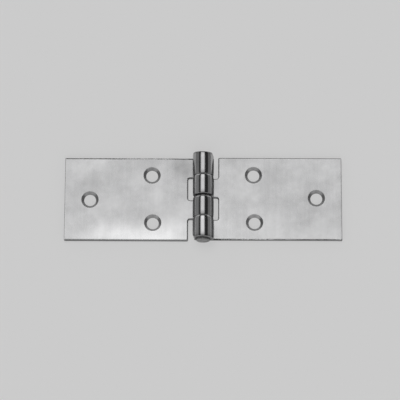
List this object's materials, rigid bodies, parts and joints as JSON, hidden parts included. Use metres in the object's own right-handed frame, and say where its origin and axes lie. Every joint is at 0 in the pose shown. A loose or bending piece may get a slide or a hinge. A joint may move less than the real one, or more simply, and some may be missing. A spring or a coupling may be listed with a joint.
{
  "type": "strap hinge",
  "caption": "Long-leaf rolled steel hinge lying open flat: two countersunk plates folding on one pin in a knuckle barrel.",
  "frame": {"origin": "on the plane of the leaves' backs, below the middle of the barrel", "axes": "+Z out of the front faces, on the barrel's side; Y along the pin; the left leaf reaches to -X and the right leaf to +X"},
  "size_m": [0.129, 0.0428, 0.0099],
  "materials": {
    "leaf_zinc": "bright zinc plate over rolled sheet steel, cloudy, burnished on the knuckles",
    "pin_steel": "drawn steel wire, dull zinc plate, sheared and chamfered ends"
  },
  "bodies": {
    "left": {"left_leaf": "leaf_zinc", "pin": "pin_steel"},
    "right": {"right_leaf": "leaf_zinc"}
  },
  "joints": [
    {"name": "leaf_fold", "type": "hinge", "parent": "left", "child": "right", "pos_m": [0, 0, 0.00493], "axis": [0, -1, 0], "range_deg": [-106, 185]}
  ]
}
